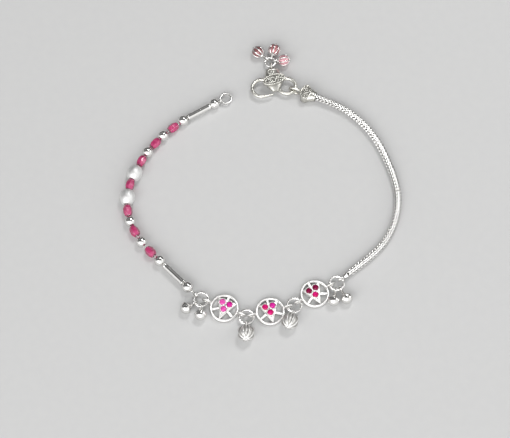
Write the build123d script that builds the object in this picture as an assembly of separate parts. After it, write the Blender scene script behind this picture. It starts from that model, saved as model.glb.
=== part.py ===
from build123d import *
import math
import os

# Payal anklet with its clasp open, lying on the plane z = 0. Millimetres, +Z up.
# The two free ends are the end ring (far end of the bead string) and the S-hook.
# A name that ends in _R is a radius, in _X or _Y a place on the piece's own axis,
# in _Z a height, and in _LENGTH, _WIDTH or _HEIGHT a full size. The plates' _LOW and
# _TOP are heights from the clasp's middle, the medallions' from the floor.

# ---- end ring: a flat band with a short crimp neck for the thread ----
RING_OUTER_R = 2.25
RING_BORE_R = 1.75
RING_HEIGHT = 1.2
RING_Z = 1.35
NECK_R = 0.65
NECK_BORE_R = 0.45
NECK_ROOT = 0.3
NECK_LENGTH = 0.5
CRIMP_DEPTH = 0.2

# ---- bead string ----
THREAD_R = 0.3
THREAD_EYE_LENGTH = 2.7
THREAD_EYE_OUT = 0.75
BEAD_HOLE_R = 0.55
SILVER_BEAD_R = 1.95
PINK_LENGTH = 3.8
PINK_END_R = 1.15
PINK_MIDDLE_R = 1.6
PINK_FLAT_SHARE = 0.4
FROSTED_LENGTH = 5.5
FROSTED_END_R = 1.35
FROSTED_R = 2.68
TUBE_R = 1.2
TUBE_BORE_R = 0.6
TUBE_LENGTH = 9.2
TUBE_CHAMFER = 0.12

# ---- jump rings, and the eyes that stand in them ----
JUMP_R = 2.45
JUMP_WIRE_R = 0.38
JUMP_TILT = 5.0
EYE_HEIGHT = 2.5
EYE_WIRE_R = 0.325
EYE_Z = 1.6

# ---- medallions ----
MEDAL_R = 5.0
MEDAL_RIM = 0.85
MEDAL_HEIGHT = 1.5
MEDAL_EDGE_R = 0.3
BAR_WIDTH = 0.9
BAR_LOW = 0.3
BAR_TOP = 1.4
WEB_TOP = 1.0
SPOKE_HEIGHT = 1.0
SETTING_OUTER_R = 1.38
SETTING_INNER_R = 1.17
SETTING_LOW = 0.4
SETTING_TOP = 1.9
STONE_SIDES = 8
STONE_R = 1.07
STONE_CULET_R = 0.45
STONE_TABLE_R = 0.64
STONE_BASE_Z = 1.1
STONE_GIRDLE_Z = 1.75
STONE_GIRDLE_HEIGHT = 0.1
STONE_TABLE_Z = 2.25
MEDAL_EYE_X = 6.35
MEDAL_EYE_LENGTH = 3.3
TRIANGLE = [(-3.5, 3.0), (3.5, 3.0), (0.0, -4.4)]
STONE_SEATS = {"a": (-1.3, 1.7), "b": (1.3, 1.7), "c": (0.0, -0.55)}
SPOKES = [
    # bearing, inner radius, outer radius
    (90, 2.8, 4.4),
    (208, 1.5, 4.4),
    (332, 1.5, 4.4),
]

# ---- bells and ribbed drops ----
LOOP_R = 0.92
LOOP_WIRE_R = 0.24
LOOP_LIFT = 0.2
BELL_R = 2.1
BELL_SEAM_R = 2.17
BELL_SEAM_WIDTH = 0.3
BELL_NECK_R = 0.5
BELL_SHOULDER_X = 1.15
BELL_SHOULDER_R = 1.55
BELL_CAP_LENGTH = 2.0
RIB_RINGS = 4
DROP_TIP_SHARE = 0.18
DROP_CAP_SHARE = 0.42
DROP_CAP_LENGTH = 0.5
DROP_STEM_R = 0.5
MELON_BALL_R = 2.62
MELON_RIB_R = 2.5
MELON_RIB_WIRE_R = 0.45
MELON_X = 4.15
ENAMEL_BALL_R = 2.05
ENAMEL_RIB_R = 1.95
ENAMEL_RIB_WIRE_R = 0.3
ENAMEL_LOOP_R = 1.05
ENAMEL_LOOP_WIRE_R = 0.3
ENAMEL_LOOP_OUT = 0.25

# ---- foxtail chain and what ends it ----
CHAIN_R = 1.45
CONE_MOUTH_R = 1.3
CONE_TIP_R = 0.6
CONE_LENGTH = 1.5
CONE_GAP = 0.15
CONE_EYE_X = 2.65
CONE_EYE_LENGTH = 2.8
CONE_EYE_LIFT = 0.1
CAP_MOUTH_R = 1.9
CAP_BORE_R = 1.68
CAP_MIDDLE_R = (2.4, 1.85)
CAP_BACK_R = (2.6, 1.8)
CAP_LENGTH = 3.1
CAP_BACK_WALL = 1.2
CAP_GRIP = 1.6
CAP_PLATE_X = 3.7
CAP_PLATE_LENGTH = 5.8
CAP_PLATE_WIDTH = 3.8
CAP_PLATE_LOW = -1.75
CAP_PLATE_TOP = 1.85
CAP_EYE_X = 7.8
CAP_EYE_LENGTH = 5.0
CAP_EYE_HEIGHT = 4.1
CAP_EYE_WIRE_R = 0.55

# ---- S-hook: flattened bell body, framed plate, two bent hooks and a neck eye ----
CLASP_Z = 2.05
HOOK_WIRE_R = 0.65
HOOK_LEFT_R = 3.5
HOOK_TAIL_R = 11.0
HOOK_TAIL_TURN = 20.0
HOOK_RIGHT_R = 3.15
HOOK_FLATTENING = 0.55
HOOK_FOOT = (1.0, -4.15)
HOOK_SIDE = [(2.4, -2.2), (3.45, 0.4), (2.9, 2.7)]
HOOK_NECK = (2.4, 4.6)
HOOK_CROWN = [(1.6, 5.4), (0, 5.6)]
NECK_EYE_Y = 6.7
NECK_EYE_LENGTH = 3.0
HOOK_PLATE_LENGTH = 8.4
HOOK_PLATE_WIDTH = 4.2
HOOK_PLATE_LOW = 0.4
HOOK_PLATE_TOP = 2.05
FRAME_WIDTH = 0.4
FRAME_DEPTH = 0.35
LEAF_LENGTH_SHARE = 0.5
LEAF_WIDTH_SHARE = 0.3
LEAF_HEIGHT_SHARE = 0.6
CLUSTER_R = 1.85
CLUSTER_WIRE_R = 0.35

# ---- layout ----
# Every place below is in the layout's own axes. CENTRE is the middle of the whole
# anklet there, and each piece is moved by it, so that the origin is that middle.
CENTRE = (0.38, -0.71)

END_RING_XY = (-12.3, 35.18)

THREAD_POINTS = [
    # x, y, z
    (-14.3, 33.98, 1.95),
    (-27.9, 25.8, 1.95),
    (-34.9, 19.6, 1.95),
    (-40.3, 12.9, 1.95),
    (-44.6, 3.9, 2.78),
    (-46.9, -5.2, 2.78),
    (-45.6, -14.2, 1.95),
    (-41.1, -22.3, 1.95),
    (-34.2, -29.4, 1.95),
    (-22.6, -41.0, 1.95),
]

STRING = [
    # kind, distance of its centre along the thread
    ("silver", 2.5),
    ("tube", 9.0),
    ("silver", 15.6),
    ("pink", 20.1),
    ("silver", 24.9),
    ("pink", 29.0),
    ("silver", 33.4),
    ("pink", 37.7),
    ("frosted", 43.2),
    ("pink", 48.05),
    ("frosted", 52.97),
    ("pink", 57.95),
    ("silver", 62.1),
    ("pink", 66.2),
    ("silver", 71.0),
    ("pink", 75.9),
    ("silver", 80.6),
    ("tube", 87.7),
    ("silver", 94.4),
]

JUMP_RINGS = [
    # x, y, z of the centre, bearing of the tilt axis
    (-20.2, -43.2, 1.58, -30.5),
    (-4.75, -49.55, 1.55, -4.0),
    (11.55, -45.4, 1.58, 21.0),
    (26.2, -37.35, 1.58, 31.5),
]

MEDALLIONS = [
    # x, y, bearing
    (-12.3, -46.2, -22.3),
    (3.35, -47.4, 14.3),
    (18.6, -40.95, 28.8),
]

BELLS = [
    # index of its jump ring, bearing on the ring, distance from its loop to its seam
    (0, -146.0, 3.5),
    (0, -90.0, 3.3),
    (3, -100.5, 4.1),
    (3, -60.0, 4.05),
]

MELONS = [
    # index of its jump ring, bearing on the ring
    (1, -90.0),
    (2, -104.0),
]

CHAIN_POINTS = [
    # x, y, z
    (29.9, -34.0, 1.45),
    (36.0, -29.2, 1.45),
    (42.4, -23.2, 1.45),
    (46.9, -15.1, 1.45),
    (48.7, -6.5, 1.45),
    (48.0, 1.5, 1.45),
    (45.3, 10.0, 1.45),
    (41.9, 18.1, 1.45),
    (36.9, 25.3, 1.45),
    (28.6, 32.5, 1.5),
    (18.6, 36.06, 2.05),
]

HOOK_PLATE_XY = (5.1, 41.9)
HOOK_BEARING = 8.8
HOOK_PLATE_TURN = 10.0
HOOK_LEFT_XY = (0.71, 39.15)
HOOK_LEFT_ARC = (50.0, 275.0)
HOOK_RIGHT_XY = (9.85, 40.0)
HOOK_RIGHT_ARC = (-145.0, 130.0)
CLUSTER_XY = (3.8, 50.35)

ENAMEL_DROPS = [
    # bearing on the cluster ring, distance from its loop to its middle
    (139.0, 3.9),
    (73.0, 3.1),
    (4.0, 3.0),
]


def write(node, shape):
    """Write one node in its place."""
    export_step(Pos(-CENTRE[0], -CENTRE[1], 0) * shape, f"parts/{node}.step")


def turned(x, y, z, bearing, pitch=0.0):
    """A place whose local +X points along the bearing, raised by the pitch."""
    return Pos(x, y, z) * Rot(0, 0, bearing) * Rot(0, -pitch, 0)


def lying(x, y, z, bearing, reach, radius):
    """The place of a drop whose loop is here and whose round body lies on the floor."""
    pitch = math.degrees(math.asin((radius - z) / reach))
    return turned(x, y, z, bearing, pitch)


def on_ring(ring, bearing, reach, radius):
    """The place of a drop that hangs on a jump ring's wire at this bearing."""
    x, y, z, tilt_axis = ring
    out = math.radians(bearing)
    rise = math.sin(out - math.radians(tilt_axis)) * math.sin(math.radians(JUMP_TILT))
    wire_z = z + JUMP_R * rise
    return lying(
        x + JUMP_R * math.cos(out),
        y + JUMP_R * math.sin(out),
        wire_z + LOOP_LIFT,
        bearing,
        reach,
        radius,
    )


def route(points):
    """Straight runs joined by tangent arcs, with the radii of the arcs."""
    radii = []
    for before, corner, after in zip(points, points[1:], points[2:]):
        arriving = Vector(*corner) - Vector(*before)
        leaving = Vector(*after) - Vector(*corner)
        turn = math.radians(arriving.get_angle(leaving))
        radii.append(0.45 * min(arriving.length, leaving.length) / math.tan(turn / 2))
    return FilletPolyline(*points, radius=radii), radii


def report(name, path, radii):
    """Print a route's length and the radii of its arcs."""
    print(name, "length", round(path.length, 2), "radii", [round(r, 1) for r in radii])


def tube(path, radius):
    """A round bar along a path."""
    start = Plane(origin=path @ 0, z_dir=path % 0)
    return sweep(start * Circle(radius), path=path)


def along_x(start, length, radius, lift=0.0):
    """A cylinder along local X from this start."""
    return Pos(start + length / 2, 0, lift) * Rot(0, 90, 0) * Cylinder(radius, length)


def eye(length, height, wire_r):
    """A long loop of wire standing in the local XZ plane, around the origin."""
    straight = length - height
    centreline = Plane.XZ * SlotCenterToCenter(max(straight, 0.02), height - 2 * wire_r)
    path = centreline.face().outer_wire()
    return sweep(Plane(origin=path @ 0, z_dir=path % 0) * Circle(wire_r), path=path)


def marquise(length, width):
    """A pointed oval, long in local X."""
    upper = ThreePointArc((-length / 2, 0), (0, width / 2), (length / 2, 0))
    lower = ThreePointArc((length / 2, 0), (0, -width / 2), (-length / 2, 0))
    return make_face([upper, lower])


def pocket(length, width, top):
    """The open space inside a framed plate's border."""
    inside = Ellipse(length / 2 - FRAME_WIDTH, width / 2 - FRAME_WIDTH)
    return Pos(0, 0, top - FRAME_DEPTH) * extrude(inside, 2 * FRAME_DEPTH)


def framed_plate(length, width, low, top):
    """An oval plate with a raised border and a leaf in the middle."""
    plate = Pos(0, 0, low) * extrude(Ellipse(length / 2, width / 2), top - low)
    plate -= pocket(length, width, top)
    leaf = marquise(LEAF_LENGTH_SHARE * length, LEAF_WIDTH_SHARE * width)
    return plate + Pos(0, 0, top - FRAME_DEPTH) * extrude(leaf, LEAF_HEIGHT_SHARE * FRAME_DEPTH)


def end_ring():
    """Flat band ring with its neck at the thread's height, along local +X."""
    lift = THREAD_POINTS[0][2] - RING_Z
    band = Cylinder(RING_OUTER_R, RING_HEIGHT)
    band += along_x(RING_OUTER_R - NECK_ROOT, NECK_ROOT + NECK_LENGTH, NECK_R, lift)
    band -= Cylinder(RING_BORE_R, 3 * RING_HEIGHT)
    crimp_length = CRIMP_DEPTH + 2 * NECK_LENGTH
    return band - along_x(RING_OUTER_R - CRIMP_DEPTH, crimp_length, NECK_BORE_R, lift)


def silver_bead():
    return Sphere(SILVER_BEAD_R) - Cylinder(BEAD_HOLE_R, 3 * SILVER_BEAD_R)


def pink_bead():
    """Six-sided glass barrel."""
    half = PINK_LENGTH / 2
    rows = [
        # z, radius
        (-half, PINK_END_R),
        (-PINK_FLAT_SHARE * half, PINK_MIDDLE_R),
        (PINK_FLAT_SHARE * half, PINK_MIDDLE_R),
        (half, PINK_END_R),
    ]
    sections = [Pos(0, 0, z) * RegularPolygon(r, 6) for z, r in rows]
    return loft(sections, ruled=True) - Cylinder(BEAD_HOLE_R, 2 * PINK_LENGTH)


def frosted_bead():
    """Oval bead with flat ends."""
    stretch = FROSTED_LENGTH / 2 / math.sqrt(FROSTED_R**2 - FROSTED_END_R**2)
    oval = scale(Sphere(FROSTED_R), (1, 1, stretch))
    oval &= Box(2 * FROSTED_R, 2 * FROSTED_R, FROSTED_LENGTH)
    return oval - Cylinder(BEAD_HOLE_R, FROSTED_LENGTH)


def tube_bead():
    outside = chamfer(Cylinder(TUBE_R, TUBE_LENGTH).edges(), TUBE_CHAMFER)
    return outside - Cylinder(TUBE_BORE_R, 2 * TUBE_LENGTH)


def medallion():
    """Round rim, filled triangle on spokes, three stone settings and two side eyes."""
    rim = Cylinder(MEDAL_R, MEDAL_HEIGHT) - Cylinder(MEDAL_R - MEDAL_RIM, MEDAL_HEIGHT)
    rim = fillet(rim.edges().filter_by(GeomType.CIRCLE), MEDAL_EDGE_R)
    body = Pos(0, 0, MEDAL_HEIGHT / 2) * rim
    triangle = make_face(Polyline(*TRIANGLE, close=True))
    inside = offset(triangle, -BAR_WIDTH)
    bars = Pos(0, 0, BAR_LOW) * extrude(triangle, BAR_TOP - BAR_LOW)
    bars -= Pos(0, 0, WEB_TOP) * extrude(inside, MEDAL_HEIGHT)
    body += bars & Cylinder(MEDAL_R - MEDAL_RIM / 2, 4 * MEDAL_HEIGHT)
    for bearing, inner, outer in SPOKES:
        spoke = Rot(0, 0, bearing) * Pos((inner + outer) / 2, 0, (BAR_LOW + BAR_TOP) / 2)
        body += spoke * Box(outer - inner, BAR_WIDTH, SPOKE_HEIGHT)
    for x, y in STONE_SEATS.values():
        body += Pos(x, y, SETTING_LOW) * extrude(Circle(SETTING_OUTER_R), SETTING_TOP - SETTING_LOW)
    for x, y in STONE_SEATS.values():
        body -= Pos(x, y, WEB_TOP) * extrude(Circle(SETTING_INNER_R), SETTING_TOP)
    for side in (-1, 1):
        loop = eye(MEDAL_EYE_LENGTH, EYE_HEIGHT, EYE_WIRE_R)
        body += Pos(side * MEDAL_EYE_X, 0, EYE_Z) * loop
    return body


def stone():
    """Round stone with flat-sided crown and pavilion, its axis on local Z."""
    rows = [
        # z, radius
        (STONE_BASE_Z, STONE_CULET_R),
        (STONE_GIRDLE_Z - STONE_GIRDLE_HEIGHT, STONE_R),
        (STONE_GIRDLE_Z, STONE_R),
        (STONE_TABLE_Z, STONE_TABLE_R),
    ]
    return loft([Pos(0, 0, z) * RegularPolygon(r, STONE_SIDES) for z, r in rows], ruled=True)


def hanging_loop(radius, wire_r):
    """The loop that a drop hangs by, around the origin in the local XZ plane."""
    return Rot(90, 0, 0) * Torus(radius, wire_r)


def bell(seam_x):
    """Closed bell: a cone-shaped cap over a round cup, its axis on local X."""
    top = seam_x - BELL_CAP_LENGTH
    shoulder = (top + BELL_SHOULDER_X, BELL_SHOULDER_R)
    cap_side = Spline((top, BELL_NECK_R), shoulder, (seam_x, BELL_R))
    cup_side = CenterArc((seam_x, 0), BELL_R, 0, 90)
    back = Polyline((seam_x + BELL_R, 0), (LOOP_R, 0), (LOOP_R, BELL_NECK_R), (top, BELL_NECK_R))
    body = revolve(make_face([cap_side, cup_side, *back.edges()]), Axis.X)
    body += along_x(seam_x - BELL_SEAM_WIDTH / 2, BELL_SEAM_WIDTH, BELL_SEAM_R)
    return body + hanging_loop(LOOP_R, LOOP_WIRE_R)


def ribbed_drop(ball_r, rib_r, rib_wire_r, centre_x, loop):
    """Round drop with ribs from cap to tip, its axis on local X."""
    ball = Sphere(ball_r)
    for turn in range(RIB_RINGS):
        ball += Rot(180 * turn / RIB_RINGS, 0, 0) * Torus(rib_r, rib_wire_r)
    ball += Pos(rib_r + rib_wire_r, 0, 0) * Sphere(DROP_TIP_SHARE * ball_r)
    cap_end = centre_x - rib_r
    cap = along_x(cap_end - DROP_CAP_LENGTH, DROP_CAP_LENGTH, DROP_CAP_SHARE * ball_r)
    body = Pos(centre_x, 0, 0) * ball + cap
    loop_r, loop_wire_r = loop
    if cap_end > loop_r:
        body += along_x(loop_r, cap_end - loop_r, DROP_STEM_R)
    return body + hanging_loop(loop_r, loop_wire_r)


def chain_end():
    """Cone and eye at the medallion end of the chain."""
    cone = Rot(0, 90, 0) * Cone(CONE_MOUTH_R, CONE_TIP_R, CONE_LENGTH)
    cone = Pos(CONE_GAP + CONE_LENGTH / 2, 0, 0) * cone
    loop = eye(CONE_EYE_LENGTH, EYE_HEIGHT, EYE_WIRE_R)
    return cone + Pos(CONE_EYE_X, 0, CONE_EYE_LIFT) * loop


def end_cap():
    """Domed sleeve on the chain's end, a framed plate across it and a thick eye."""
    mouth = Plane.YZ * Circle(CAP_MOUTH_R)
    middle = Plane.YZ.offset(CAP_LENGTH / 2) * Ellipse(*CAP_MIDDLE_R)
    back = Plane.YZ.offset(CAP_LENGTH) * Ellipse(*CAP_BACK_R)
    sleeve = loft([mouth, middle, back])
    bore_length = CAP_LENGTH - CAP_BACK_WALL
    sleeve -= along_x(-bore_length, 2 * bore_length, CAP_BORE_R)
    across = Pos(CAP_PLATE_X, 0, 0) * Rot(0, 0, 90)
    sleeve -= across * pocket(CAP_PLATE_LENGTH, CAP_PLATE_WIDTH, CAP_PLATE_TOP)
    plate = framed_plate(CAP_PLATE_LENGTH, CAP_PLATE_WIDTH, CAP_PLATE_LOW, CAP_PLATE_TOP)
    ring = Pos(CAP_EYE_X, 0, 0) * eye(CAP_EYE_LENGTH, CAP_EYE_HEIGHT, CAP_EYE_WIRE_R)
    return sleeve + across * plate + ring


def hook_loop(centre, radius, arc, tail_turn=0):
    """One bent hook of wire with a round tip at each end, and a flatter tail if it turns."""
    path = CenterArc((0, 0), radius, arc[0], arc[1] - arc[0])
    if tail_turn:
        path = Wire([path, JernArc(path @ 1, path % 1, HOOK_TAIL_R, tail_turn)])
    bent = tube(path, HOOK_WIRE_R)
    bent += Pos(*(path @ 0)) * Sphere(HOOK_WIRE_R)
    bent += Pos(*(path @ 1)) * Sphere(HOOK_WIRE_R)
    return Pos(centre[0], centre[1], CLASP_Z) * bent


def s_hook():
    """Flattened bell body between two bent hooks, with a framed plate and a neck eye."""
    side = Spline(HOOK_FOOT, *HOOK_SIDE, HOOK_NECK)
    back = Polyline(HOOK_NECK, *HOOK_CROWN, (0, HOOK_FOOT[1]), HOOK_FOOT)
    bell_body = revolve(make_face([side, *back.edges()]), Axis.Y)
    body = scale(bell_body, (1, 1, HOOK_FLATTENING))
    neck_eye = eye(NECK_EYE_LENGTH, EYE_HEIGHT, EYE_WIRE_R)
    body += Pos(0, NECK_EYE_Y, EYE_Z - CLASP_Z) * Rot(0, 0, 90) * neck_eye
    body -= Rot(0, 0, HOOK_PLATE_TURN) * pocket(HOOK_PLATE_LENGTH, HOOK_PLATE_WIDTH, HOOK_PLATE_TOP)
    plate = framed_plate(HOOK_PLATE_LENGTH, HOOK_PLATE_WIDTH, HOOK_PLATE_LOW, HOOK_PLATE_TOP)
    body += Rot(0, 0, HOOK_PLATE_TURN) * plate
    body = Pos(*HOOK_PLATE_XY, CLASP_Z) * Rot(0, 0, HOOK_BEARING) * body
    body += hook_loop(HOOK_LEFT_XY, HOOK_LEFT_R, HOOK_LEFT_ARC, HOOK_TAIL_TURN)
    return body + hook_loop(HOOK_RIGHT_XY, HOOK_RIGHT_R, HOOK_RIGHT_ARC)


def bead_string():
    """The thread with its end eye, and everything strung on it."""
    path, radii = route(THREAD_POINTS)
    report("thread", path, radii)
    tail = THREAD_POINTS[-1]
    run = Vector(*tail) - Vector(*THREAD_POINTS[-2])
    bearing = math.degrees(math.atan2(run.Y, run.X))
    loop = turned(tail[0], tail[1], EYE_Z, bearing) * Pos(THREAD_EYE_OUT, 0, 0)
    loop *= eye(THREAD_EYE_LENGTH, EYE_HEIGHT, EYE_WIRE_R)
    write("bead_thread", tube(path, THREAD_R) + loop)
    shapes = {
        "silver": silver_bead(),
        "pink": pink_bead(),
        "frosted": frosted_bead(),
        "tube": tube_bead(),
    }
    counts = dict.fromkeys(shapes, 0)
    for kind, distance in STRING:
        counts[kind] += 1
        share = distance / path.length
        place = Plane(origin=path @ share, z_dir=path % share)
        write(f"{kind}_bead_{counts[kind]}", place * shapes[kind])


def medallion_row():
    """Jump rings, medallions, stones and the drops below them."""
    for number, (x, y, z, tilt_axis) in enumerate(JUMP_RINGS, 1):
        place = turned(x, y, z, tilt_axis) * Rot(JUMP_TILT, 0, 0)
        write(f"jump_ring_{number}", place * Torus(JUMP_R, JUMP_WIRE_R))
    for number, (x, y, bearing) in enumerate(MEDALLIONS, 1):
        place = turned(x, y, 0, bearing)
        write(f"medallion_{number}", place * medallion())
        for letter, (seat_x, seat_y) in STONE_SEATS.items():
            write(f"stone_{number}{letter}", place * Pos(seat_x, seat_y, 0) * stone())
    for number, (ring, bearing, reach) in enumerate(BELLS, 1):
        place = on_ring(JUMP_RINGS[ring], bearing, reach, BELL_SEAM_R)
        write(f"bell_{number}", place * bell(reach))
    melon_r = MELON_RIB_R + MELON_RIB_WIRE_R
    loop = (LOOP_R, LOOP_WIRE_R)
    melon = ribbed_drop(MELON_BALL_R, MELON_RIB_R, MELON_RIB_WIRE_R, MELON_X, loop)
    for number, (ring, bearing) in enumerate(MELONS, 1):
        place = on_ring(JUMP_RINGS[ring], bearing, MELON_X, melon_r)
        write(f"melon_drop_{number}", place * melon)


def chain_and_clasp():
    """The foxtail chain as one bar, its two ends, the S-hook and the enamel cluster."""
    path, radii = route(CHAIN_POINTS)
    chain = tube(path, CHAIN_R)
    report("chain", path, radii)
    section_times_length = math.pi * CHAIN_R**2 * path.length
    print("chain volume", round(chain.volume, 1), "or", round(section_times_length, 1))
    write("foxtail_chain", chain)
    start = path @ 0
    away = -(path % 0)
    bearing = math.degrees(math.atan2(away.Y, away.X))
    write("chain_end", turned(start.X, start.Y, start.Z, bearing) * chain_end())
    finish = path @ 1
    onward = path % 1
    bearing = math.degrees(math.atan2(onward.Y, onward.X))
    mouth = turned(finish.X, finish.Y, CLASP_Z, bearing) * Pos(-CAP_GRIP, 0, 0)
    write("end_cap", mouth * end_cap())
    write("s_hook", s_hook())
    write("cluster_ring", Pos(*CLUSTER_XY, EYE_Z) * Torus(CLUSTER_R, CLUSTER_WIRE_R))
    drop_r = ENAMEL_RIB_R + ENAMEL_RIB_WIRE_R
    loop = (ENAMEL_LOOP_R, ENAMEL_LOOP_WIRE_R)
    for number, (around, reach) in enumerate(ENAMEL_DROPS, 1):
        out = math.radians(around)
        x = CLUSTER_XY[0] + (CLUSTER_R + ENAMEL_LOOP_OUT) * math.cos(out)
        y = CLUSTER_XY[1] + (CLUSTER_R + ENAMEL_LOOP_OUT) * math.sin(out)
        drop = ribbed_drop(ENAMEL_BALL_R, ENAMEL_RIB_R, ENAMEL_RIB_WIRE_R, reach, loop)
        place = lying(x, y, EYE_Z, around, reach, drop_r)
        write(f"enamel_drop_{number}", place * drop)


os.makedirs("parts", exist_ok=True)
ring_bearing = math.degrees(
    math.atan2(THREAD_POINTS[0][1] - END_RING_XY[1], THREAD_POINTS[0][0] - END_RING_XY[0])
)
write("end_ring", turned(*END_RING_XY, RING_Z, ring_bearing) * end_ring())
bead_string()
medallion_row()
chain_and_clasp()
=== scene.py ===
import math

import bmesh
import bpy
import numpy as np
from mathutils import Matrix, Vector

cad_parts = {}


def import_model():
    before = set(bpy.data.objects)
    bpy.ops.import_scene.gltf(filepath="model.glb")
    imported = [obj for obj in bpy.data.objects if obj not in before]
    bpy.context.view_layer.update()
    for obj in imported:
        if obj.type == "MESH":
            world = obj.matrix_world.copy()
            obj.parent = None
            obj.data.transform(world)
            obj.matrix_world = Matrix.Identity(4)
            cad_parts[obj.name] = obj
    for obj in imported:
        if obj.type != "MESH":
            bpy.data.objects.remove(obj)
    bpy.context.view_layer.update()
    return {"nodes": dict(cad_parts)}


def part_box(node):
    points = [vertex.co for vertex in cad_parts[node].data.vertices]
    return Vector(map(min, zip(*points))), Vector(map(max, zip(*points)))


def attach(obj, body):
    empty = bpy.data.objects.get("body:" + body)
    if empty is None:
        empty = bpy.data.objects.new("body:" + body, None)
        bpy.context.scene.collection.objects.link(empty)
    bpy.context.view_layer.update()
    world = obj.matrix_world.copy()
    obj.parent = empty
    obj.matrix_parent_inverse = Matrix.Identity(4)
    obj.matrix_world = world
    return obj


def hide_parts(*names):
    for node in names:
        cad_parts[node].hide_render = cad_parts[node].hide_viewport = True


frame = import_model()

# The looks of a payal anklet of silver, glass and enamel, around the imported model.
# Sizes are in millimetres, except the route points, the floor and the lamps, in metres.
# Each shape is made around its own origin, mostly with its axis on local +X, and is
# then put in its place. Depth is a share from 0 on open metal to 1 deep in a groove;
# silver darkens with it, for oxide in the hollows and painted shade.

SCENE = bpy.context.scene
MM = 0.001
CENTRE = Vector((0.38, -0.71, 0.0))

# ---- sizes of the pieces, as in the model's source ----
RING_OUTER_R = 2.25
RING_BORE_R = 1.75
RING_HEIGHT = 1.2
NECK_LIFT = 0.6
NECK_END = 2.75
SILVER_BEAD_R = 1.95
PINK_LENGTH = 3.8
PINK_END_R = 1.15
PINK_MIDDLE_R = 1.6
FROSTED_LENGTH = 5.5
FROSTED_END_R = 1.35
FROSTED_R = 2.68
BEAD_BORE_R = 0.5
TUBE_R = 1.2
TUBE_LENGTH = 9.2
JUMP_R = 2.45
JUMP_WIRE_R = 0.38
JUMP_TILT = 5.0
EYE_HEIGHT = 2.5
EYE_WIRE_R = 0.325
EYE_Z = 1.6
MEDAL_HEIGHT = 1.5
MEDAL_EYE_X = 6.35
MEDAL_EYE_LENGTH = 3.3
SPOKE_WIDTH = 0.9
STONE_R = 1.07
LOOP_R = 0.92
LOOP_WIRE_R = 0.24
LOOP_LIFT = 0.2
BELL_R = 2.1
BELL_SEAM_R = 2.17
MELON_R = 2.95
MELON_X = 4.15
ENAMEL_R = 2.25
ENAMEL_LOOP_R = 1.05
ENAMEL_LOOP_WIRE_R = 0.3
ENAMEL_LOOP_OUT = 0.25
CONE_EYE_X = 2.65
CONE_EYE_LENGTH = 2.8
CONE_EYE_LIFT = 0.1
CLASP_Z = 2.05
HOOK_WIRE_R = 0.65
HOOK_FLATTENING = 0.55
NECK_EYE_Y = 6.7
NECK_EYE_LENGTH = 3.0
CLUSTER_R = 1.85
CLUSTER_WIRE_R = 0.35
RING_Z = 1.35

# ---- sizes that only the look has ----
BEAD_ROLL = 37.0  # degrees from each bead to the next
LINK_LENGTH = 1.02
LINK_HEIGHT = 0.62
LINK_WIRE_R = 0.1
LINK_PITCH = 0.62
LINK_INSET = 0.3  # how far links reach into a bead
FIRST_LINKS_END = 1.5  # from the first bead's middle
FIRST_LINKS_RUN = 1.1
LAST_LINKS_START = 1.6  # from the last bead's middle
TAIL_EYE_LENGTH = 2.7
TAIL_EYE_X = 0.75
JUMP_SEAM_TURN = 135.0
FOXTAIL_PITCH = 0.66
LOBE_REACH = 1.2
LOBE_SPREAD = 0.44
LOBE_LEAN = 1.35
FOXTAIL_START = 0.3
FOXTAIL_STEP = 0.3  # ahead and behind, for its direction
FOXTAIL_REST = 0.9
LOBE_FLAT = 1.22  # lobes are pressed in past this
# Within the second radius the links darken: oxide and painted shade between the links.
FOXTAIL_LOOPS = [(0.34, 0.95), (0.27, 1.12)]  # wire radius, radius within which it darkens
PLATE_SINK = 0.36
# shares of a plate's length and width
VINE = [(-0.4, 0.02), (-0.3, 0.2), (-0.14, 0.27), (0.02, 0.2), (0.06, 0.05)]
CAP_BORE_R = 1.62
CAP_BORE_DEPTH = 1.5
CAP_SECTIONS = [
    # x, half width, half height
    (0.0, 1.68, 1.68),
    (0.0, 1.8, 1.8),
    (0.1, 1.9, 1.88),
    (0.45, 1.98, 1.9),
    (0.55, 1.9, 1.82),
    (0.68, 1.92, 1.82),
    (0.85, 2.06, 1.88),
    (1.55, 2.4, 1.86),
    (2.4, 2.58, 1.82),
    (3.1, 2.6, 1.8),
    (3.4, 2.3, 1.6),
]
BOSS_XY = (-0.6, 3.4)
ENAMEL_BALL_R = 2.1
ENAMEL_RIB_R = 1.97
ENAMEL_RIB_WIRE_R = 0.28

# ---- places, in the layout's axes, where the model's origin is at CENTRE ----
END_RING_XY = (-12.3, 35.18)
THREAD_START = (-14.3, 33.98)
TRIANGLE = [(3.5, 3.0), (-3.5, 3.0), (0.0, -4.4)]
STONE_SEATS = {"a": (-1.3, 1.7), "b": (1.3, 1.7), "c": (0.0, -0.55)}
SPOKES = [(90, 2.8, 4.4), (208, 1.5, 4.4), (332, 1.5, 4.4)]  # bearing, inner and outer radius
JUMP_TILT_AXES = [-30.5, -4.0, 21.0, 31.5]
MEDALLION_BEARINGS = [-22.3, 14.3, 28.8]
BELLS = [
    # jump ring, bearing on the ring, distance from its loop to its seam
    (1, -146.0, 3.5),
    (1, -90.0, 3.3),
    (4, -100.5, 4.1),
    (4, -60.0, 4.05),
]
MELONS = [(2, -90.0), (3, -104.0)]  # jump ring, bearing on the ring
ENAMEL_DROPS = [
    # bearing on the cluster ring, distance from its loop to its middle
    (139.0, 3.9),
    (73.0, 3.1),
    (4.0, 3.0),
]
HOOK_PLACE = (5.1, 41.9)
HOOK_BEARING = 8.8
HOOK_PLATE_TURN = 10.0
HOOK_LEFT = (0.71, 39.15, 3.5, 50.0, 275.0)  # x, y, radius, first and last bearing
HOOK_RIGHT = (9.85, 40.0, 3.15, -145.0, 130.0)
HOOK_TAIL_R = 11.0
HOOK_TAIL_TURN = 20.0
CAP_GRIP = 1.6
CAP_PLATE_X = 3.7
CAP_PLATE = (5.8, 3.8, 1.85)  # length, width, top
CAP_PLATE_LOW = -1.75
HOOK_PLATE = (8.4, 4.2, 2.05)
HOOK_PLATE_LOW = 0.4
CAP_EYE_X = 7.8
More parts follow.
